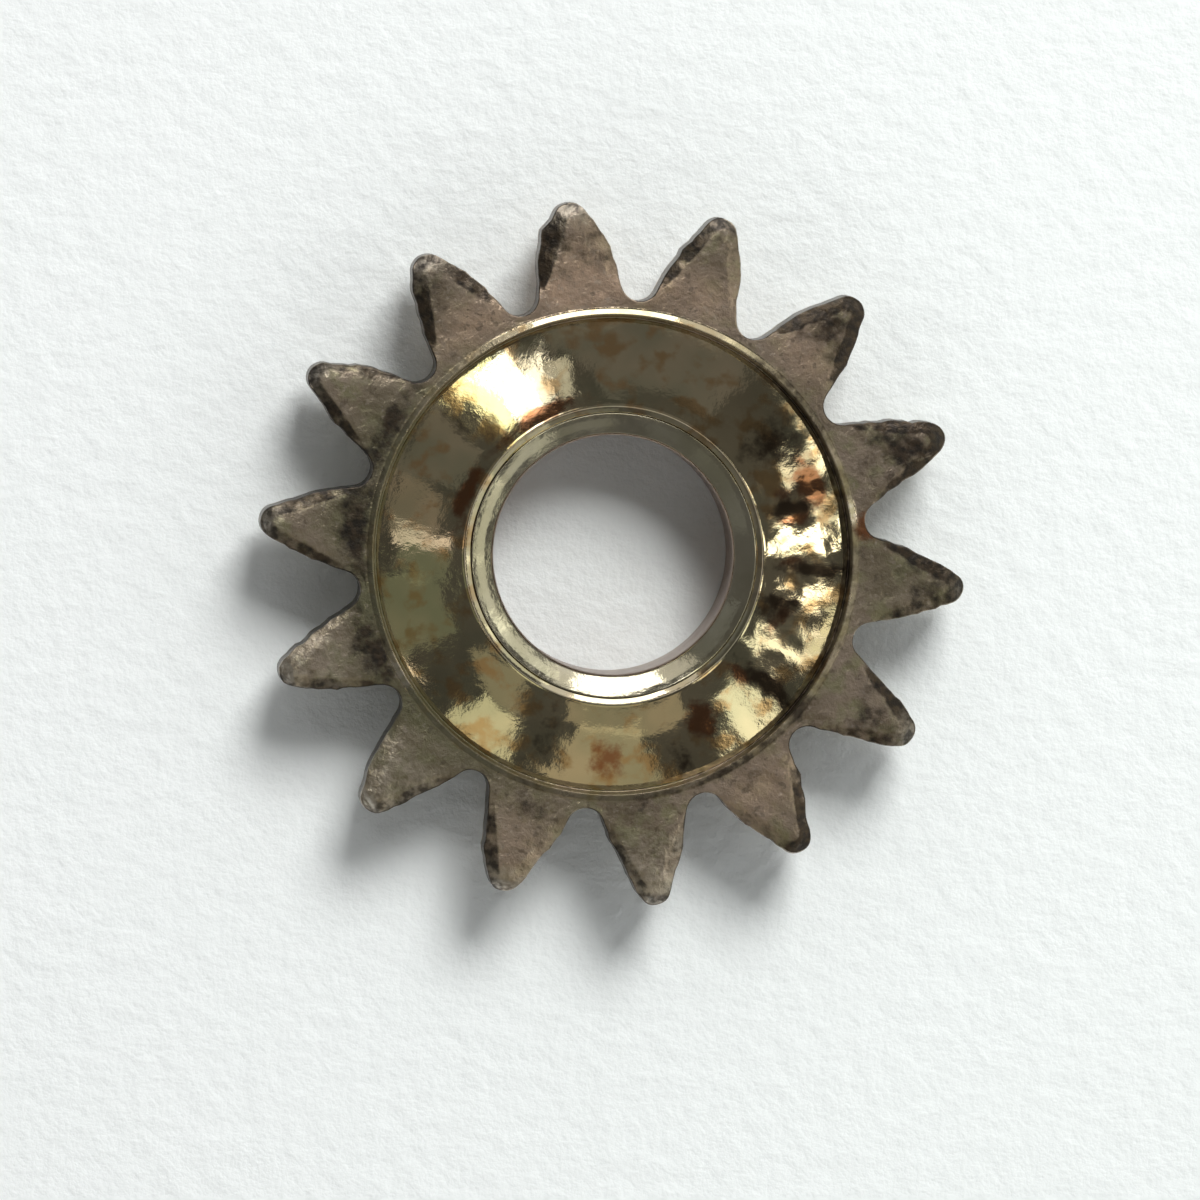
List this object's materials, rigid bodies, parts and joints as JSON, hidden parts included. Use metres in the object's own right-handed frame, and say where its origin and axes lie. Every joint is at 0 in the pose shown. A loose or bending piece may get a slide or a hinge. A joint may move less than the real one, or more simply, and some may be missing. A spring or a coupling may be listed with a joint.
{
  "type": "small intermediate wheel",
  "caption": "Small steel idler wheel with long pointed teeth and a polished ring-shaped hollow, turning on a raised core with a plain through bore.",
  "frame": {"origin": "on the wheel's axis, in the plane of the underside of the core's foot, which is the lowest face of the part", "axes": "+Z along the axis, from the foot up to the polished side; +X through the middle of one tooth; +Y completes a right-handed frame"},
  "size_m": [0.0032, 0.0032, 0.0005],
  "materials": {
    "wheel_steel": "satin tooth tops, polished hollow",
    "core_steel": "polished"
  },
  "bodies": {
    "core": {"core_bush": "core_steel"},
    "wheel": {"toothed_wheel": "wheel_steel"}
  },
  "joints": [
    {"name": "wheel_turn", "type": "hinge", "parent": "core", "child": "wheel", "pos_m": [0, 0, 0.00026], "axis": [0, 0, 1], "continuous": true}
  ]
}
